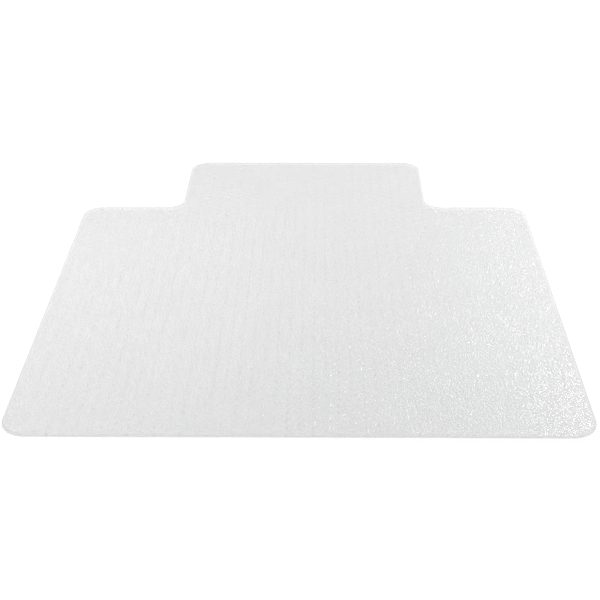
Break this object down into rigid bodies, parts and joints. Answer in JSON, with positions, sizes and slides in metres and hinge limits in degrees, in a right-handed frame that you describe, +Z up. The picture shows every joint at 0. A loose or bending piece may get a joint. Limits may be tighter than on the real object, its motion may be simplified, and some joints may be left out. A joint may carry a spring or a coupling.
{
  "type": "chair mat",
  "caption": "Lipped carpet chair mat: a thin clear vinyl sheet with rounded corners, a bevelled edge and blunt gripper studs underneath.",
  "frame": {"origin": "on the floor plane, which is the plane of the stud tips, at the centre of the mat's overall footprint", "axes": "+Z up; +Y from the front edge towards the lip, along the mat's longest side; +X across the mat, to the right seen from the chair"},
  "size_m": [1.143, 1.3462, 0.008],
  "materials": {
    "frosted_vinyl": "clear flexible vinyl with a fine pebbled top, satin",
    "stud_vinyl": "the same clear vinyl, smooth as it leaves the roll"
  },
  "bodies": {
    "root": {"mat_sheet": "frosted_vinyl", "edge_and_corner_studs": "stud_vinyl", "panel_studs_front": "stud_vinyl", "panel_studs_rear": "stud_vinyl", "lip_studs": "stud_vinyl"}
  },
  "joints": []
}
